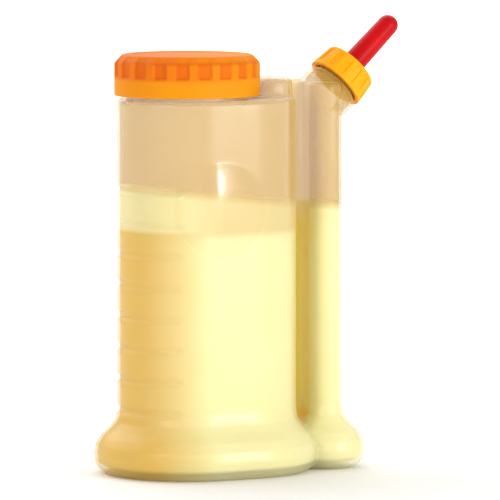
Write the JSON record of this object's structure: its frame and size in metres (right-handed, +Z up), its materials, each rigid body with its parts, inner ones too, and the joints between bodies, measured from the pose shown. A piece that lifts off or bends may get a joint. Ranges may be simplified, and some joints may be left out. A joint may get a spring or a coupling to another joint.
{
  "type": "two-chamber squeeze bottle",
  "caption": "Translucent two-chamber squeeze bottle: screw-lidded reservoir, side standpipe with slanted neck, collar, spout and red tip cover.",
  "frame": {"origin": "middle of the footprint's bounding box, on the surface that the bottle stands on", "axes": "+Z up; +X from the reservoir towards the standpipe and the slanted spout; -Y the front, which has the same low round dome as the back"},
  "size_m": [0.1501, 0.085, 0.2059],
  "materials": {
    "bottle_body": "translucent natural polyethylene, satin, blow moulded",
    "fill": "opaque pale yellow liquid",
    "reservoir_lid": "moulded orange-yellow plastic, satin, ribbed",
    "lid_liner": "soft white foam disc",
    "spout_collar": "moulded orange-yellow plastic, satin, ribbed",
    "spout_gasket": "soft white sealing ring",
    "spout_nozzle": "natural polyethylene, satin",
    "tip_cover": "red flexible plastic, satin"
  },
  "bodies": {
    "bottle": {"bottle_body": "bottle_body", "fill": "fill"},
    "lid_seal": {"lid_liner": "lid_liner"},
    "lid": {"reservoir_lid": "reservoir_lid"},
    "nozzle": {"spout_nozzle": "spout_nozzle", "spout_gasket": "spout_gasket"},
    "collar": {"spout_collar": "spout_collar"},
    "cover": {"tip_cover": "tip_cover"}
  },
  "joints": [
    {"name": "lid_rise", "type": "slide", "parent": "bottle", "child": "lid_seal", "axis": [0, 0, 1], "range_m": [0, 0.018]},
    {"name": "lid_turn", "type": "hinge", "parent": "lid_seal", "child": "lid", "pos_m": [-0.0326, 0, 0.1716], "axis": [0, 0, 1], "range_deg": [0, 1296]},
    {"name": "nozzle_rise", "type": "slide", "parent": "bottle", "child": "nozzle", "axis": [0.7254, 0, 0.6884], "range_m": [0, 0.01]},
    {"name": "collar_turn", "type": "hinge", "parent": "nozzle", "child": "collar", "pos_m": [0.0429, 0, 0.175], "axis": [0.7254, 0, 0.6884], "range_deg": [0, 900]},
    {"name": "cover_pull", "type": "slide", "parent": "nozzle", "child": "cover", "axis": [0.7254, 0, 0.6884], "range_m": [0, 0.03]}
  ],
  "couplings": [
    {"joint": "lid_turn", "follows": "lid_rise", "rad_per_m": 1256.6},
    {"joint": "collar_turn", "follows": "nozzle_rise", "rad_per_m": 1570.8}
  ]
}
